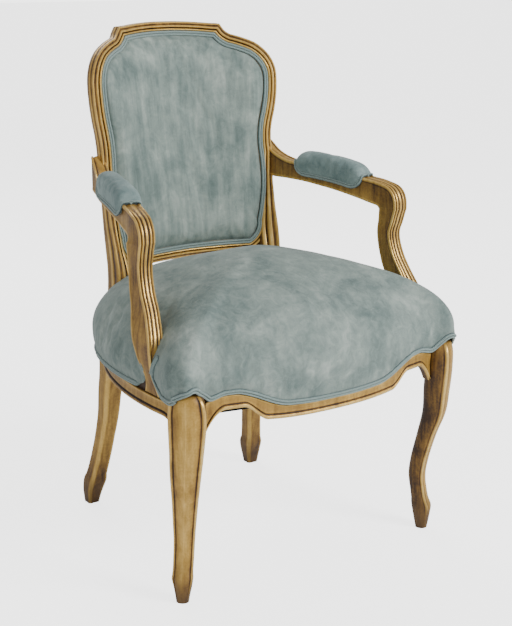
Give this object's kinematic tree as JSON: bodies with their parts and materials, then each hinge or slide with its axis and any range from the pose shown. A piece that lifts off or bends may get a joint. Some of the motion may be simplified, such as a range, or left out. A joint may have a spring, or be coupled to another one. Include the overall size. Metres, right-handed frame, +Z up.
{
  "type": "fauteuil",
  "caption": "Upholstered open-arm chair: carved cabriole frame, serpentine seat rail, domed sprung seat, concave padded back with a stepped arch and padded elbow rests.",
  "frame": {"origin": "middle of the overall width and depth, on the floor plane under the feet", "axes": "+Z up, -Y towards the front of the seat, +X towards the sitter's left"},
  "size_m": [0.6398, 0.6137, 0.9808],
  "materials": {
    "gilded_wood": "aged gilding",
    "bare_wood": "matte",
    "velvet": "crushed velvet",
    "welt": "woven cord",
    "stuffing": "fibre wadding",
    "canvas": "woven",
    "dark_cloth": "woven",
    "steel": "satin"
  },
  "bodies": {
    "root": {"front_leg_left": "gilded_wood", "front_leg_right": "gilded_wood", "back_leg_left": "gilded_wood", "back_leg_right": "gilded_wood", "front_seat_rail": "gilded_wood", "side_seat_rail_left": "gilded_wood", "side_seat_rail_right": "gilded_wood", "rear_seat_rail": "gilded_wood", "crest_rail": "gilded_wood", "lower_back_rail": "gilded_wood", "arm_left": "gilded_wood", "arm_right": "gilded_wood", "arm_support_left": "gilded_wood", "arm_support_right": "gilded_wood", "corner_block_front_left": "bare_wood", "corner_block_front_right": "bare_wood", "corner_block_rear_left": "bare_wood", "corner_block_rear_right": "bare_wood", "tenon_pegs": "bare_wood", "arm_support_screws": "steel", "corner_block_screws": "steel", "seat_springs": "steel", "seat_webbing_lengthwise": "canvas", "seat_webbing_crosswise": "canvas", "dust_cover": "dark_cloth", "spring_hessian": "canvas", "seat_stuffing": "stuffing", "seat_cover": "velvet", "seat_gimp": "welt", "back_webbing": "canvas", "back_hessian": "canvas", "back_stuffing": "stuffing", "back_cover": "velvet", "back_gimp": "welt", "outside_back_cover": "velvet", "outside_back_gimp": "welt", "arm_pad_left": "stuffing", "arm_pad_right": "stuffing", "arm_pad_cover_left": "velvet", "arm_pad_cover_right": "velvet", "arm_pad_gimp_left": "welt", "arm_pad_gimp_right": "welt"}
  },
  "joints": []
}
